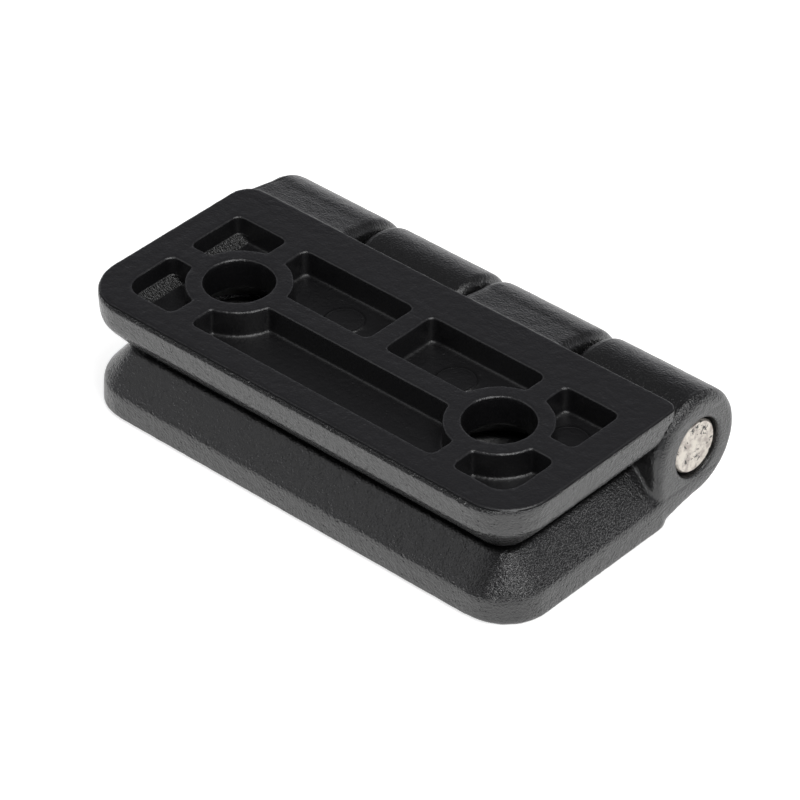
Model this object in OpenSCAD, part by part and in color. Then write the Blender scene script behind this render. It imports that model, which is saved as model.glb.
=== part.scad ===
// Cast butt hinge, folded shut and lying on the mounting face of its fixed leaf.
// Both leaves are the same casting; the second is turned half a turn about the Y axis.
// Lengths are in millimetres. X runs along the pin, Y from the free edges to the pin, Z up.
// The origin is midway between the two screw holes of the fixed leaf, on its mounting face.

/* [Leaf] */
// Length of a leaf along the pin
leaf_length = 49.5; // [44:0.5:80]
// Distance from the pin axis to the free edge of a leaf
leaf_reach = 24.2; // [22:0.1:40]
// Thickness of a leaf, from its mounting face to its front face
leaf_thick = 5.75; // [5:0.25:8]
// Gap left between the two front faces when the hinge is shut
shut_gap = 0.5; // [0.2:0.1:1.5]
// Height of the rim above the mounting face, up to the slope
rim_height = 2.7; // [1.5:0.1:3.5]
// Draft of the rim: how far it leans in over its height
rim_draft = 0.15; // [0:0.05:0.4]
// How far the slope above the rim draws in before it meets the front face
slope_inset = 2.7; // [1:0.1:3.6]
// Radius of the two corners on the free edge, seen from above
corner_r = 4.8; // [4.5:0.1:8]
// Radius of the pin-side corner next to a hollow, seen from above
hollow_corner_r = 1.2; // [0.5:0.1:1.8]
// Radius of the pin-side corner next to the outer knuckle, seen from above
knuckle_corner_r = 2.2; // [0.5:0.1:2.6]
// Rounding where the rim turns into the slope
brow_r = 1.6; // [0.2:0.1:2]
// Rounding where the slope meets the front face
front_edge_r = 0.4; // [0.1:0.1:1]

/* [Mounting pad] */
// Height by which the flat pad stands proud of the casting around it
pad_height = 0.25; // [0.1:0.05:0.5]
// Distance of the pad in from the two ends of the leaf
pad_end_inset = 0.1; // [0.05:0.05:0.8]
// Distance of the pad in from the free edge of the leaf
pad_front_inset = 0.4; // [0.05:0.05:0.8]
// Distance from the pin axis to the pin-side edge of the pad
pad_back = 2.75; // [2.4:0.05:3.5]

/* [Knuckles and pin] */
// Number of knuckles on each leaf
knuckles_per_leaf = 2; // [2:1:4]
// Outer diameter of a knuckle
knuckle_d = 10.4; // [9.6:0.1:11.2]
// Rounding of the knuckle ends
knuckle_end_r = 1; // [0.3:0.1:1.4]
// Gap between the ends of neighbouring knuckles
knuckle_gap = 0.4; // [0.2:0.1:1]
// Distance of an outer knuckle face in from the end of its leaf
knuckle_inset = 0.1; // [0:0.05:0.8]
// Space between a knuckle and the hollow for it in the other leaf
hollow_clearance = 0.8; // [0.4:0.1:1]
// Distance by which the neck of a knuckle stays inside the outline of its barrel
neck_inset = 0.05; // [0.02:0.01:0.1]
// Fillet where the front face runs up to a knuckle
neck_fillet_r = 0.7; // [0.3:0.1:1]
// Diameter of the pin
pin_d = 5; // [3:0.1:6]
// Depth of each pin end below the outer face of its knuckle
pin_recess = 0.3; // [0:0.1:1]
// Chamfer on the two pin ends
pin_chamfer = 0.15; // [0.05:0.05:0.5]
// Radial clearance of the pin in the knuckles that turn on it
pin_running_fit = 0.05; // [0.01:0.01:0.1]
// Radial clearance of the pin in the knuckles that hold it
pin_held_fit = 0.01; // [0.01:0.01:0.05]
// How far the bore widens all round towards an outer knuckle face
bore_flare = 0.35; // [0.1:0.05:0.5]
// Length over which the bore widens towards an outer knuckle face
bore_flare_depth = 1.2; // [0.4:0.1:2]

/* [Screw holes] */
// Distance between the two screw holes of a leaf
hole_pitch = 29.6; // [26:0.1:35]
// Distance from the pin axis to the line of screw holes
hole_to_pin = 14.1; // [12:0.1:17]
// Diameter of a screw hole
hole_d = 6.3; // [4:0.1:6.6]
// Diameter of the countersink at the front face
countersink_d = 12; // [8:0.1:12.6]
// Full angle of the countersink
countersink_angle = 90; // [82:1:100]

/* [Pockets in the mounting face] */
// Depth of the pockets
pocket_depth = 2.5; // [1:0.1:3]
// Width of the wall left between the pockets and the two ends of the leaf
end_wall = 3; // [2.4:0.05:3.6]
// Width of the wall left between the pockets and the free edge of the leaf
front_wall = 2.95; // [2.4:0.05:3.6]
// Distance from the pin axis to the pin-side wall of the pockets
pocket_back = 6.9; // [6.6:0.1:8]
// Outer diameter of the boss round a screw hole
boss_d = 9.4; // [7.6:0.1:11]
// Width of the ribs that cross at each boss
rib_width = 2.2; // [1.2:0.1:3]
// Width of the rib across the middle, on the pin side only
middle_rib_width = 2; // [1.2:0.1:3]
// Rounding of the pocket corners
pocket_r = 0.7; // [0.2:0.1:1]
// Rounding of the two pocket corners next to the free corners of the leaf
outer_pocket_r = 1.9; // [1:0.1:2.2]
// Width of the ramp at the foot of the rim wall
ramp_width = 1; // [0.4:0.1:1.1]
// Height of the ramp at the foot of the rim wall
ramp_height = 0.6; // [0.2:0.1:1]
// Diameter of the round ejector marks on the pocket floors
mark_d = 3.5; // [2:0.1:4]
// Height of the ejector marks
mark_height = 0.15; // [0.05:0.05:0.3]
// Distance of the inner ejector marks from the middle of the leaf
inner_mark_x = 6.4; // [5:0.1:8]

/* [Hidden] */
$fn = 96;

// Least number of straight pieces per rounded corner of an outline
arc_steps = 6;
// Straight pieces of a rounded corner per millimetre of its radius
arc_steps_per_mm = 3;
// Length by which joined pieces run into each other and cuts run past a face
run_in = 0.5;

knuckle_r = knuckle_d / 2;
pin_height = leaf_thick + shut_gap / 2;
slot_count = 2 * knuckles_per_leaf;
slot_length = leaf_length / slot_count;
outer_face_x = leaf_length / 2 - knuckle_inset;
hollow_r = knuckle_r + hollow_clearance;
mark_y = -(pocket_back + hole_to_pin - rib_width / 2) / 2;

// The underside of a knuckle is a flat that touches the barrel and ends at the pad edge.
flat_drop = pin_height - pad_height;
flat_reach = norm([pad_back, flat_drop]);
neck_r = knuckle_r - neck_inset;
flat_tilt = acos(neck_r / flat_reach) - atan(pad_back / flat_drop);
flat_length = sqrt(flat_reach * flat_reach - neck_r * neck_r);
// Past the pad edge the flat runs on inside the leaf, and ends before it reaches the mounting face.
flat_run_in = min(knuckle_corner_r, 0.8 * pad_height / tan(max(flat_tilt, 1)));

leaf_colour = [0.10, 0.10, 0.11];
pin_colour = [0.80, 0.78, 0.74];

function unit(v) = v / norm(v);

// Points that round corner b, between its neighbours a and c, to radius r.
function corner_arc(a, b, c, r) =
    r <= 0 ? [b] :
    let (
        to_a = unit(a - b),
        to_c = unit(c - b),
        half = acos(to_a * to_c) / 2,
        centre = b + unit(to_a + to_c) * r / sin(half),
        first = b + to_a * r / tan(half) - centre,
        last = b + to_c * r / tan(half) - centre,
        start = atan2(first.y, first.x),
        swing = atan2(last.y, last.x) - start,
        turn = swing > 180 ? swing - 360 : swing < -180 ? swing + 360 : swing,
        steps = max(arc_steps, round(arc_steps_per_mm * r))
    )
    [for (i = [0 : steps])
        let (angle = start + turn * i / steps)
        centre + r * [cos(angle), sin(angle)]];

// Outline through corners given as [x, y, rounding].
function rounded(corners) =
    let (n = len(corners), at = [for (p = corners) [p.x, p.y]])
    [for (i = [0 : n - 1]) each corner_arc(at[(i + n - 1) % n], at[i], at[(i + 1) % n], corners[i][2])];

// Section of the rim: x is measured outwards from the corner centre line, y from the mounting face.
module rim_section() {
    polygon(rounded([
        [0, 0, 0],
        [corner_r, 0, 0],
        [corner_r - rim_draft, rim_height, brow_r],
        [corner_r - slope_inset, leaf_thick, front_edge_r],
        [0, leaf_thick, 0],
    ]));
}

// Section of the ramp at the foot of the rim wall, in the same directions as rim_section.
module ramp_section() {
    wall_x = corner_r - end_wall;
    polygon([
        [wall_x, pocket_depth - ramp_height],
        [wall_x - ramp_width, pocket_depth],
        [wall_x - ramp_width, pocket_depth + run_in],
        [wall_x + run_in, pocket_depth + run_in],
        [wall_x + run_in, pocket_depth - ramp_height],
    ]);
}

// Runs a section along the two ends and the free edge of the leaf, round both free corners.
module along_free_sides() {
    side_x = leaf_length / 2 - corner_r;
    front_y = corner_r - leaf_reach;
    for (side = [0, 1]) mirror([side, 0, 0]) {
        translate([side_x, -pad_back, 0])
            rotate([90, 0, 0]) linear_extrude(-pad_back - front_y) children();
        translate([side_x, front_y, 0])
            rotate([0, 0, -90]) rotate_extrude(angle = 90) children();
    }
    translate([side_x, front_y, 0])
        rotate([0, 0, -90]) rotate([90, 0, 0]) linear_extrude(2 * side_x) children();
}

module leaf_body() {
    along_free_sides() rim_section();
    translate([corner_r - leaf_length / 2, corner_r - leaf_reach, 0])
        cube([leaf_length - 2 * corner_r, leaf_reach - corner_r - pad_back, leaf_thick]);
}

// What the flat pad stands proud of: a thin step round its ends and front.
module pad_step() {
    pad_x = leaf_length / 2 - pad_end_inset;
    pad_y = pad_front_inset - leaf_reach;
    pad_corner_r = corner_r - pad_front_inset;
    translate([0, 0, -run_in]) linear_extrude(pad_height + run_in) difference() {
        translate([-leaf_length, -2 * leaf_reach]) square([2 * leaf_length, 2 * leaf_reach - pad_back]);
        polygon(rounded([
            [-pad_x, pad_y, pad_corner_r],
            [pad_x, pad_y, pad_corner_r],
            [pad_x, run_in, 0],
            [-pad_x, run_in, 0],
        ]));
    }
}

// Takes a square corner on the pin side, with its point at the origin, back to an arc.
module corner_cut(r) {
    difference() {
        translate([-run_in, -run_in, -run_in]) cube([r + run_in, r + run_in, leaf_thick + 2 * run_in]);
        translate([r, r, -2 * run_in]) cylinder(r = r, h = leaf_thick + 4 * run_in);
    }
}

// Hollows that leave room for the knuckles of the other leaf.
module knuckle_hollows() {
    for (slot = [0 : 2 : slot_count - 2]) {
        slot_start = slot * slot_length - leaf_length / 2;
        from = slot == 0 ? slot_start - run_in : slot_start - knuckle_gap / 2;
        to = slot_start + slot_length + knuckle_gap / 2;
        translate([from, 0, pin_height])
            rotate([0, 90, 0]) cylinder(r = hollow_r, h = to - from);
    }
}

// Half section of a knuckle of radius r: x is the radius, y runs along the pin.
module knuckle_section(r, from, to) {
    polygon(rounded([
        [0, from, 0],
        [r, from, knuckle_end_r],
        [r, to, knuckle_end_r],
        [0, to, 0],
    ]));
}

// One knuckle: a barrel, its upright front, and the flat that runs from the barrel to the pad edge.
module knuckle(length) {
    neck_height = knuckle_r - knuckle_end_r;
    rotate([0, 90, 0]) rotate_extrude() knuckle_section(knuckle_r, 0, length);
    translate([0, 0, -neck_height])
        rotate([0, 0, -90]) linear_extrude(neck_height)
            knuckle_section(neck_r, neck_inset, length - neck_inset);
    rotate([90 + flat_tilt, 0, 0])
        rotate([0, 0, -90]) linear_extrude(flat_length + flat_run_in)
            knuckle_section(neck_r, neck_inset, length - neck_inset);
}

// Fillet between the front face and a knuckle barrel, touching both.
module neck_fillet(from, to) {
    centre_z = leaf_thick + neck_fillet_r;
    centre_y = -sqrt(pow(knuckle_r + neck_fillet_r, 2) - pow(centre_z - pin_height, 2));
    top_angle = atan2(pin_height - centre_z, -centre_y);
    translate([from, 0, 0]) rotate([90, 0, 90]) linear_extrude(to - from) polygon([
        [centre_y, leaf_thick - run_in],
        for (i = [0 : arc_steps])
            let (angle = -90 + (90 + top_angle) * i / arc_steps)
            [centre_y, centre_z] + neck_fillet_r * [cos(angle), sin(angle)],
        [run_in - knuckle_r, pin_height],
        [run_in - knuckle_r, leaf_thick - run_in],
    ]);
}

module knuckles() {
    fillet_start = 1.5 * knuckle_end_r;
    fillet_end = leaf_length / 2 - slope_inset - front_edge_r;
    for (slot = [1 : 2 : slot_count - 1]) {
        is_last = slot == slot_count - 1;
        from = slot * slot_length - leaf_length / 2 + knuckle_gap / 2;
        to = is_last ? outer_face_x : (slot + 1) * slot_length - leaf_length / 2 - knuckle_gap / 2;
        translate([from, 0, pin_height]) knuckle(to - from);
        neck_fillet(from + fillet_start, is_last ? fillet_end : to - fillet_start);
    }
}

module pin_bore(fit) {
    bore_r = pin_d / 2 + fit;
    run_out_r = bore_r + bore_flare * (1 + run_in / bore_flare_depth);
    translate([-leaf_length, 0, pin_height])
        rotate([0, 90, 0]) cylinder(r = bore_r, h = 2 * leaf_length);
    translate([outer_face_x - bore_flare_depth, 0, pin_height])
        rotate([0, 90, 0]) cylinder(r1 = bore_r, r2 = run_out_r, h = bore_flare_depth + run_in);
}

// Puts its children at both screw holes, on the mounting face.
module at_holes() {
    for (side = [-1, 1]) translate([side * hole_pitch / 2, -hole_to_pin, 0]) children();
}

module screw_holes() {
    sink_depth = (countersink_d - hole_d) / 2 / tan(countersink_angle / 2);
    slope = tan(countersink_angle / 2);
    at_holes() {
        translate([0, 0, -run_in]) cylinder(d = hole_d, h = leaf_thick + 2 * run_in);
        translate([0, 0, leaf_thick - sink_depth])
            cylinder(d1 = hole_d, d2 = countersink_d + 2 * run_in * slope, h = sink_depth + run_in);
    }
}

// One pocket between x = from and x = to and between y = low and y = high, with its four roundings.
module pocket(from, to, low, high, r_from_low, r_to_low) {
    polygon(rounded([
        [from, low, r_from_low],
        [to, low, r_to_low],
        [to, high, pocket_r],
        [from, high, pocket_r],
    ]));
}

// Plan of the seven pockets, with the bosses left standing.
module pocket_plan() {
    end_x = leaf_length / 2 - end_wall;
    hole_x = hole_pitch / 2;
    half_rib = rib_width / 2;
    half_middle_rib = middle_rib_width / 2;
    free_y = front_wall - leaf_reach;
    back_y = -pocket_back;
    difference() {
        union() {
            for (side = [0, 1]) mirror([side, 0]) {
                pocket(hole_x + half_rib, end_x, half_rib - hole_to_pin, back_y, pocket_r, pocket_r);
                pocket(half_middle_rib, hole_x - half_rib, half_rib - hole_to_pin, back_y, pocket_r, pocket_r);
                pocket(hole_x + half_rib, end_x, free_y, -half_rib - hole_to_pin, pocket_r, outer_pocket_r);
            }
            pocket(half_rib - hole_x, hole_x - half_rib, free_y, -half_rib - hole_to_pin,
                pocket_r, pocket_r);
        }
        for (side = [-1, 1]) translate([side * hole_x, -hole_to_pin]) circle(d = boss_d);
    }
}

module ejector_marks() {
    outer_mark_x = (hole_pitch / 2 + rib_width / 2 + leaf_length / 2 - end_wall) / 2;
    for (x = [-outer_mark_x, -inner_mark_x, inner_mark_x, outer_mark_x])
        translate([x, mark_y, pocket_depth - mark_height]) cylinder(d = mark_d, h = mark_height + run_in);
}

module pockets() {
    difference() {
        translate([0, 0, -run_in]) linear_extrude(pocket_depth + run_in) pocket_plan();
        along_free_sides() ramp_section();
        ejector_marks();
    }
}

// One leaf, with the pin axis above the X axis and the mounting face at z = 0.
module leaf(fit) {
    difference() {
        union() {
            difference() {
                leaf_body();
                knuckle_hollows();
                pad_step();
                translate([-leaf_length / 2, -pad_back, 0]) rotate([0, 0, -90]) corner_cut(hollow_corner_r);
                translate([leaf_length / 2, -pad_back, 0]) rotate([0, 0, 180]) corner_cut(knuckle_corner_r);
            }
            knuckles();
        }
        pockets();
        screw_holes();
        pin_bore(fit);
    }
}

module fixed_leaf() {
    color(leaf_colour) translate([0, hole_to_pin, 0]) leaf(pin_held_fit);
}

module swing_leaf() {
    color(leaf_colour) translate([0, hole_to_pin, 2 * pin_height])
        rotate([0, 180, 0]) leaf(pin_running_fit);
}

module hinge_pin() {
    length = 2 * (outer_face_x - pin_recess);
    pin_r = pin_d / 2;
    color(pin_colour) translate([-length / 2, hole_to_pin, pin_height]) rotate([0, 90, 0]) rotate_extrude()
        polygon([
            [0, 0],
            [pin_r - pin_chamfer, 0],
            [pin_r, pin_chamfer],
            [pin_r, length - pin_chamfer],
            [pin_r - pin_chamfer, length],
            [0, length],
        ]);
}

fixed_leaf();
swing_leaf();
hinge_pin();
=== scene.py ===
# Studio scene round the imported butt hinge: camera, soft light, floor and the finish of each piece.
# The frame's row axes hold throughout. Names that end in _MM are in millimetres.
import math

import bpy
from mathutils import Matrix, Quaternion, Vector


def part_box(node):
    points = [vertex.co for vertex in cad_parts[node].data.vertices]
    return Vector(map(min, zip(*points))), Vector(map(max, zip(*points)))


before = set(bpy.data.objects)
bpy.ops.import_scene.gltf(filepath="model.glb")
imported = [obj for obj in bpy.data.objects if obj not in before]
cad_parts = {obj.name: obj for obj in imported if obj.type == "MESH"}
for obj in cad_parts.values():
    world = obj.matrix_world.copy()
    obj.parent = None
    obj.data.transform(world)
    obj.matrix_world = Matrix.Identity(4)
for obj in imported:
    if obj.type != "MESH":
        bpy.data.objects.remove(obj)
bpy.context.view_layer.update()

MM = 0.001

LEAVES = ("fixed_leaf", "swing_leaf")
PIN = "hinge_pin"

# Camera: a long lens, from the front right and above
EYE_MM = Vector((201.9, -217.1, 229.6))
AIM_MM = Vector((-2.83, 7.24, 1.13))
ROLL_DEG = -0.42
LENS_MM = 197.04

# Each lamp: name, direction from the hinge, distance, width of the square, watts
LAMPS = (
    ("overhead", Vector((0.35, -0.05, 0.93)), 700, 500, 2.3),
    ("key_right", Vector((0.72, -0.25, 0.65)), 450, 150, 0.38),
    ("fill_left", Vector((-0.53, -0.6, 0.6)), 500, 300, 0.16),
)

# The walls of the studio are lighter than its ceiling, and fade into it up to this sine of the elevation.
WORLD_COLOUR = (0.95, 0.95, 1.0, 1)
WALL_STRENGTH = 0.6
CEILING_STRENGTH = 0.1
CEILING_SINE = 0.55

# The floor lies a hair below the hinge and has one step down behind the fixed leaf's pad.
FLOOR_MM = 40000
FLOOR_DROP_MM = 0.04
FLOOR_EDGE_MM = 11.4
FLOOR_STEP_MM = 15
FLOOR_COLOUR = (0.9, 0.9, 0.89, 1)
# Strength of the white that is added for these rays, except on a patch beneath the hinge
FLOOR_LIFT = 0.72
LIFTED_RAYS = ("Is Camera Ray", "Is Glossy Ray", "Is Transmission Ray")
PATCH_INSET_MM = 4
PATCH_FADE_MM = 1

# Soft edges of the castings
VOXEL_MM = 0.12
SMOOTH_PASSES = 16
WAVE_MM = 1.0
WAVE_HEIGHT_MM = 0.05
TRIANGLES_KEPT = 0.26

# Where the pockets and holes lie in the mounting faces, from the leaf's own box
LEAF_CORNER, OPPOSITE_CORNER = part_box("fixed_leaf")
HALF_LENGTH_MM = OPPOSITE_CORNER.x / MM
FREE_EDGE_MM = LEAF_CORNER.y / MM
SHUT_HEIGHT_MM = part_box("swing_leaf")[1].z / MM
END_WALL_MM = 3.0
POCKETS_X_MM = HALF_LENGTH_MM - END_WALL_MM
POCKETS_FRONT_MM = FREE_EDGE_MM + END_WALL_MM
POCKETS_BACK_MM = 7.4
HOLE_X_MM = 14.8
COUNTERSINK_MM = 12

# The round ejector marks on the pocket floors
MARK_X_MM = (6.4, 18.825)
MARK_Y_MM = 4.15
MARK_RADIUS_MM = 1.75
MARK_EDGE_MM = 0.16

# Spans over which a zone of a casting fades into the next. A depth is measured from the nearer mounting face,
# and X from the middle of the leaf to either side.
PAD_DEPTHS_MM = (0.08, 0.2)
RAMP_DEPTHS_MM = (1.7, 1.9)
POCKET_FLOOR_FROM_MM = (2.0, 2.2)
POCKET_FLOOR_TO_MM = (2.6, 2.8)
RIM_DEPTHS_MM = (2.5, 3.0)
POCKET_DEPTHS_MM = (4.0, 4.3)
END_SLOPE_X_MM = (HALF_LENGTH_MM - 4.24, HALF_LENGTH_MM - 2.74)
RAMP_X_MM = (POCKETS_X_MM - 1.15, POCKETS_X_MM - 0.95)
END_RIM_X_MM = (HALF_LENGTH_MM - 1.14, HALF_LENGTH_MM - 0.74)
END_FACE_X_MM = (HALF_LENGTH_MM - 0.54, HALF_LENGTH_MM - 0.24)
FRONT_RIM_Y_MM = (FREE_EDGE_MM + 0.79, FREE_EDGE_MM + 1.19)
KNUCKLE_Y_MM = (8.0, 9.0)
POCKET_FADE_MM = 0.3
HOLE_FADE_MM = 0.2

# Sizes of the patterns in the coating, and how far its relief stands out
FINE_MM = 0.13
GRAIN_MM = 0.2
PEEL_MM = 0.6
PIT_MM = 0.6
PIT_SPAN = (0.04, 0.26)
PATCHES_MM = 6.0
RELIEF_MM = 0.15
# Share of each pattern in the relief: everywhere, and then more or less of it zone by zone
RELIEF = {
    "fine": (0.0, {"pebbled": 0.35}),
    "grain": (0.45, {"smooth": -0.25, "pebbled": 0.2, "rims": 0.3, "ramps": 0.4}),
    "peel": (0.28, {"rims": 0.35, "knuckles": -0.16}),
    "pits": (0.06, {"rims": 0.36, "inside": 0.05}),
    "marks": (0.0, {"floors": 0.35}),
}
COAT_ROUGHNESS = (0.24, {"flats": 0.13, "inside": 0.05, "knuckles": 0.065})
COAT_SPECULAR = 0.85
COAT_DARK = (0.006, 0.006, 0.0064, 1)
COAT_PALE = (0.010, 0.010, 0.010, 1)
PAD_COLOUR = (0.0085, 0.0083, 0.0098, 1)
# Darker colour for the pockets and holes, but not their ramps: painted shade in the recesses
POCKET_PAINTED_SHADE = (0.0035, 0.0034, 0.0042, 1)

# The pin's plating, dull or bright under a haze pattern, and the clustered specks of coating on it
PLATING_DULL = (0.38, 0.34, 0.31, 1)
PLATING_BRIGHT = (0.66, 0.62, 0.56, 1)
SPECK_COLOUR = (0.02, 0.018, 0.016, 1)
PLATING_ROUGHNESS = (0.38, 0.5)
HAZE_MM = 0.9
HAZE_COLOUR_SPAN = (0.35, 0.6)
HAZE_ROUGHNESS_SPAN = (0.3, 0.7)
CLUSTER_MM = 1.1
CLUSTER_SHARE = 0.75
SPECK_MM = 0.3
SPECK_SPAN = (0.71, 0.75)
SCRATCH_MM = 0.1
SCRATCH_HEIGHT_MM = 0.01


class Nodes:
    """Adds shader nodes to one tree and links them, so that a material reads from top to bottom."""

    def __init__(self, tree):
        self.tree = tree
        tree.nodes.clear()

    def add(self, kind, **settings):
        node = self.tree.nodes.new("ShaderNode" + kind)
        for name, value in settings.items():
            setattr(node, name, value)
        return node

    def put(self, socket, value):
        if isinstance(value, bpy.types.NodeSocket):
            self.tree.links.new(value, socket)
        else:
            socket.default_value = value

    def math(self, operation, *values):
        node = self.add("Math", operation=operation)
        for socket, value in zip(node.inputs, values):
            self.put(socket, value)
        return node.outputs[0]

    def either(self, first, *others):
        for mask in others:
            first = self.math("MAXIMUM", first, mask)
        return first

    def both(self, first, *others):
        for mask in others:
            first = self.math("MULTIPLY", first, mask)
        return first

    def invert(self, mask):
        return self.math("SUBTRACT", 1.0, mask)

    def distance(self, x, y):
        squares = [self.math("POWER", side, 2) for side in (x, y)]
        return self.math("SQRT", self.math("ADD", *squares))

    def rise(self, value, span, low=0.0, high=1.0):
        """Goes smoothly from low to high while the value passes through the span."""
        node = self.add("MapRange", interpolation_type="SMOOTHSTEP")
        for socket, number in zip(node.inputs, (value, *span, low, high)):
            self.put(socket, number)
        return node.outputs[0]

    def fall(self, value, span):
        return self.rise(value, span, 1.0, 0.0)

    def mix(self, factor, first, second):
        node = self.add("Mix", data_type="RGBA")
        self.put(node.inputs["Factor"], factor)
        self.put(node.inputs[6], first)
        self.put(node.inputs[7], second)
        return node.outputs[2]

    def axes(self, place):
        node = self.add("SeparateXYZ")
        self.put(node.inputs[0], place)
        return node.outputs["X"], node.outputs["Y"], node.outputs["Z"]

    def place_mm(self):
        """Where a point lies on its own piece, in millimetres, so that a pattern rides with the piece."""
        node = self.add("VectorMath", operation="SCALE")
        self.put(node.inputs[0], self.add("TexCoord").outputs["Object"])
        node.inputs["Scale"].default_value = 1 / MM
        return node.outputs[0]

    def noise(self, place, size_mm, detail=2.0, roughness=0.5):
        node = self.add("TexNoise")
        self.put(node.inputs["Vector"], place)
        node.inputs["Scale"].default_value = 1 / size_mm
        node.inputs["Detail"].default_value = detail
        node.inputs["Roughness"].default_value = roughness
        return node.outputs[0]

    def cells(self, place, size_mm):
        node = self.add("TexVoronoi")
        self.put(node.inputs["Vector"], place)
        node.inputs["Scale"].default_value = 1 / size_mm
        return node.outputs["Distance"]

    def bump(self, height, distance_mm):
        node = self.add("Bump")
        node.inputs["Distance"].default_value = distance_mm * MM
        self.put(node.inputs["Height"], height)
        return node.outputs[0]

    def finish(self, shader, kind="OutputMaterial"):
        self.tree.links.new(shader.outputs[0], self.add(kind).inputs["Surface"])


def new_material(name):
    material = bpy.data.materials.new(name)
    material.use_nodes = True
    return material, Nodes(material.node_tree)


def casting_zones(n, place):
    """Masks for the zones of a casting that look unlike the rest."""
    x, y, z = n.axes(place)
    x = n.math("ABSOLUTE", x)
    from_upper_face = n.math("ABSOLUTE", n.math("SUBTRACT", z, SHUT_HEIGHT_MM))
    depth = n.math("MINIMUM", n.math("ABSOLUTE", z), from_upper_face)

    pad = n.fall(depth, PAD_DEPTHS_MM)

    within_x = n.fall(x, (POCKETS_X_MM, POCKETS_X_MM + POCKET_FADE_MM))
    within_front = n.rise(y, (POCKETS_FRONT_MM - POCKET_FADE_MM, POCKETS_FRONT_MM))
    within_back = n.fall(y, (POCKETS_BACK_MM, POCKETS_BACK_MM + POCKET_FADE_MM))
    pockets = n.both(within_x, within_front, within_back, n.fall(depth, POCKET_DEPTHS_MM))
    from_hole = n.distance(n.math("SUBTRACT", x, HOLE_X_MM), y)
    holes = n.fall(from_hole, (COUNTERSINK_MM / 2, COUNTERSINK_MM / 2 + HOLE_FADE_MM))
    inside = n.both(n.either(pockets, holes), n.invert(pad))
    floors = n.both(inside, n.rise(depth, POCKET_FLOOR_FROM_MM), n.fall(depth, POCKET_FLOOR_TO_MM))
    ramps = n.both(inside, n.rise(x, RAMP_X_MM), n.rise(depth, RAMP_DEPTHS_MM))

    flats = n.either(pad, inside)
    rough = n.invert(flats)
    near_edge = n.either(n.rise(x, END_RIM_X_MM), n.fall(y, FRONT_RIM_Y_MM))
    rims = n.both(rough, near_edge, n.fall(depth, RIM_DEPTHS_MM))
    off_knuckles = n.either(n.fall(y, KNUCKLE_Y_MM), n.rise(x, END_FACE_X_MM))
    knuckles = n.both(rough, n.invert(off_knuckles))
    ends = n.both(rough, off_knuckles, n.rise(x, END_SLOPE_X_MM))
    return {
        "inside": inside,
        "floors": floors,
        "pad": pad,
        "flats": flats,
        "ramps": ramps,
        "rims": rims,
        "knuckles": knuckles,
        "smooth": n.math("SUBTRACT", flats, ramps),
        "pebbled": n.either(n.math("MULTIPLY_ADD", rims, -0.5, ends), ramps),
    }


def by_zone(n, zones, everywhere, shares):
    """A value that holds everywhere, with each zone's share of change added to it."""
    total = everywhere
    for zone, share in shares.items():
        total = n.math("MULTIPLY_ADD", zones[zone], share, total)
    return total


def mark_edges(n, place):
    """Thin raised edge round each ejector mark."""
    x, y, _ = n.axes(place)
    x = n.math("ABSOLUTE", x)
    from_x = n.math("MINIMUM", *[n.math("ABSOLUTE", n.math("SUBTRACT", x, middle)) for middle in MARK_X_MM])
    from_middle = n.distance(from_x, n.math("SUBTRACT", y, MARK_Y_MM))
    from_edge = n.math("ABSOLUTE", n.math("SUBTRACT", from_middle, MARK_RADIUS_MM))
    return n.fall(from_edge, (0.0, MARK_EDGE_MM))


def coating_material():
    """Near-black powder coating: pebbled, pitted on the rims, smoother on the pad and in the pockets; painted
    shade darkens pockets and holes.
    """
    material, n = new_material("leaf_coating")
    place = n.place_mm()
    zones = casting_zones(n, place)
    patterns = {
        "fine": n.noise(place, FINE_MM, detail=1.0),
        "grain": n.noise(place, GRAIN_MM, detail=1.5, roughness=0.6),
        "peel": n.noise(place, PEEL_MM, detail=1.5),
        "pits": n.rise(n.cells(place, PIT_MM), PIT_SPAN),
        "marks": mark_edges(n, place),
    }
    height = 0.0
    for name, pattern in patterns.items():
        height = n.math("MULTIPLY_ADD", pattern, by_zone(n, zones, *RELIEF[name]), height)

    patches = n.noise(place, PATCHES_MM, detail=3.0)
    colour = n.mix(patches, COAT_DARK, COAT_PALE)
    colour = n.mix(zones["pad"], colour, PAD_COLOUR)
    # Painted shade: the pockets and holes, except their ramps, take the darker colour
    colour = n.mix(n.math("SUBTRACT", zones["inside"], zones["ramps"]), colour, POCKET_PAINTED_SHADE)

    shader = n.add("BsdfPrincipled")
    shader.inputs["Specular IOR Level"].default_value = COAT_SPECULAR
    n.put(shader.inputs["Base Color"], colour)
    n.put(shader.inputs["Roughness"], by_zone(n, zones, *COAT_ROUGHNESS))
    n.put(shader.inputs["Normal"], n.bump(height, RELIEF_MM))
    n.finish(shader)
    return material


def pin_material():
    """Dull nickel plating with specks of the coating on it."""
    material, n = new_material("pin_plating")
    place = n.place_mm()
    clusters = n.noise(place, CLUSTER_MM, detail=1.0)
    fine = n.noise(place, SPECK_MM, detail=3.0, roughness=0.65)
    bare = n.rise(n.math("MULTIPLY_ADD", clusters, CLUSTER_SHARE, fine), SPECK_SPAN)
    haze = n.noise(place, HAZE_MM, detail=4.0, roughness=0.6)
    plating = n.mix(n.rise(haze, HAZE_COLOUR_SPAN), PLATING_DULL, PLATING_BRIGHT)
    shader = n.add("BsdfPrincipled")
    n.put(shader.inputs["Base Color"], n.mix(bare, SPECK_COLOUR, plating))
    n.put(shader.inputs["Metallic"], bare)
    n.put(shader.inputs["Roughness"], n.rise(haze, HAZE_ROUGHNESS_SPAN, *PLATING_ROUGHNESS))
    n.put(shader.inputs["Normal"], n.bump(n.noise(place, SCRATCH_MM), SCRATCH_HEIGHT_MM))
    n.finish(shader)
    return material


def cast_waves():
    """Gentle unevenness of a casting under its coating."""
    waves = bpy.data.textures.new("cast_waves", "CLOUDS")
    waves.noise_scale = WAVE_MM * MM
    return waves


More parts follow.
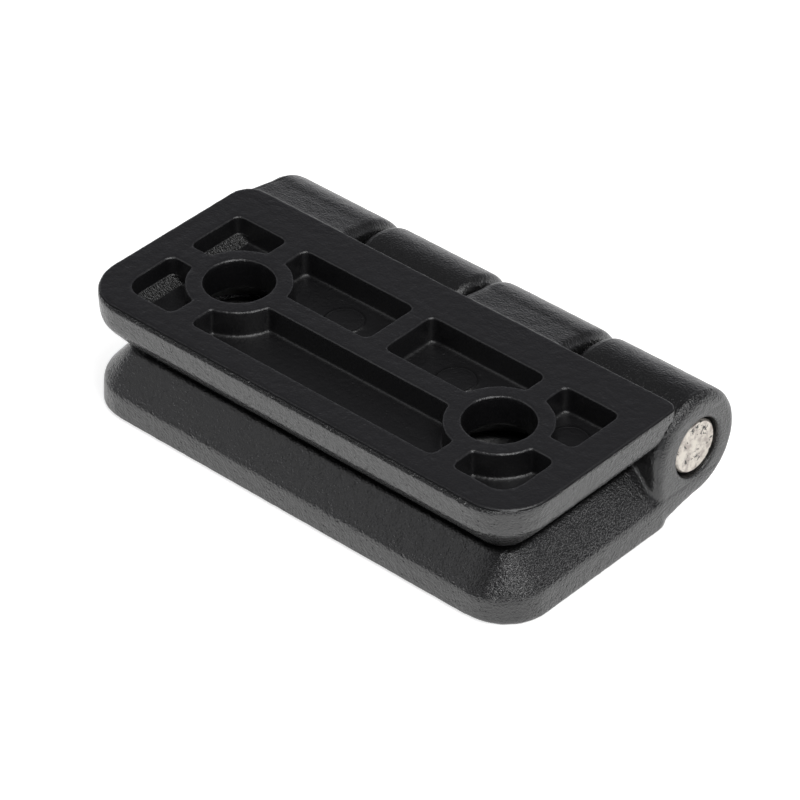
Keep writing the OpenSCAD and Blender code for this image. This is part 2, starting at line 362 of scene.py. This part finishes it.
def soften(leaf, texture):
    """Rounds the sharp edges of a casting, as the die and the coating do."""
    remesh = leaf.modifiers.new("soft_edges", "REMESH")
    remesh.mode = "VOXEL"
    remesh.voxel_size = VOXEL_MM * MM
    remesh.use_smooth_shade = True
    smooth = leaf.modifiers.new("even_edges", "SMOOTH")
    smooth.factor = 0.5
    smooth.iterations = SMOOTH_PASSES
    waves = leaf.modifiers.new("cast_waves", "DISPLACE")
    waves.texture = texture
    waves.texture_coords = "LOCAL"
    waves.strength = WAVE_HEIGHT_MM * MM
    thin = leaf.modifiers.new("fewer_faces", "DECIMATE")
    thin.ratio = TRIANGLES_KEPT


def dress(node, material):
    node.data.materials.clear()
    node.data.materials.append(material)


def floor_material():
    """Pale paper that shows white to the camera and in reflections, and keeps the hinge's shadow."""
    material, n = new_material("floor_paper")
    paper = n.add("BsdfDiffuse")
    paper.inputs["Color"].default_value = FLOOR_COLOUR
    path = n.add("LightPath")
    seen = n.either(*[path.outputs[ray] for ray in LIFTED_RAYS])

    x, y, _ = n.axes(n.place_mm())
    patch_x = HALF_LENGTH_MM - PATCH_INSET_MM
    patch_front = FREE_EDGE_MM + PATCH_INSET_MM
    beside = n.rise(n.math("ABSOLUTE", x), (patch_x - PATCH_FADE_MM, patch_x))
    before = n.fall(y, (patch_front, patch_front + PATCH_FADE_MM))
    behind = n.rise(y, (FLOOR_EDGE_MM - PATCH_FADE_MM, FLOOR_EDGE_MM))

    lift = n.add("Emission")
    n.put(lift.inputs["Strength"], n.both(seen, n.either(beside, before, behind), FLOOR_LIFT))
    both = n.add("AddShader")
    n.put(both.inputs[0], paper.outputs[0])
    n.put(both.inputs[1], lift.outputs[0])
    n.finish(both)
    return material


def make_floor():
    """Lays the floor, with its step, so that the other leaf can swing past the edge."""
    half = FLOOR_MM / 2
    top, low = -FLOOR_DROP_MM, -FLOOR_STEP_MM
    rows = ((-half, top), (FLOOR_EDGE_MM, top), (FLOOR_EDGE_MM, low), (half, low))
    points = [Vector((x, y, z)) * MM for y, z in rows for x in (-half, half)]
    faces = [(2 * row, 2 * row + 1, 2 * row + 3, 2 * row + 2) for row in range(len(rows) - 1)]
    mesh = bpy.data.meshes.new("floor")
    mesh.from_pydata(points, [], faces)
    floor = bpy.data.objects.new("floor", mesh)
    bpy.context.scene.collection.objects.link(floor)
    dress(floor, floor_material())


def make_lamps():
    for name, direction, distance_mm, width_mm, watts in LAMPS:
        data = bpy.data.lights.new(name, "AREA")
        data.shape = "SQUARE"
        data.size = width_mm * MM
        data.energy = watts
        lamp = bpy.data.objects.new(name, data)
        lamp.location = direction.normalized() * distance_mm * MM
        lamp.rotation_euler = direction.to_track_quat("Z", "Y").to_euler()
        bpy.context.scene.collection.objects.link(lamp)


def make_world():
    world = bpy.data.worlds.new("studio")
    world.use_nodes = True
    n = Nodes(world.node_tree)
    _, _, height = n.axes(n.add("TexCoord").outputs["Generated"])
    sky = n.add("Background")
    sky.inputs["Color"].default_value = WORLD_COLOUR
    n.put(sky.inputs["Strength"], n.rise(height, (0.0, CEILING_SINE), WALL_STRENGTH, CEILING_STRENGTH))
    n.finish(sky, "OutputWorld")
    bpy.context.scene.world = world


def make_camera():
    data = bpy.data.cameras.new("camera")
    data.lens = LENS_MM
    camera = bpy.data.objects.new("camera", data)
    camera.location = EYE_MM * MM
    look = (AIM_MM - EYE_MM).to_track_quat("-Z", "Y")
    camera.rotation_mode = "QUATERNION"
    camera.rotation_quaternion = look @ Quaternion((0, 0, 1), math.radians(ROLL_DEG))
    bpy.context.scene.collection.objects.link(camera)
    bpy.context.scene.camera = camera


def main():
    coating = coating_material()
    texture = cast_waves()
    for name in LEAVES:
        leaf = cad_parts[name]
        dress(leaf, coating)
        soften(leaf, texture)
    dress(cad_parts[PIN], pin_material())
    make_floor()
    make_lamps()
    make_world()
    make_camera()
    bpy.context.scene.view_settings.view_transform = "Standard"


main()
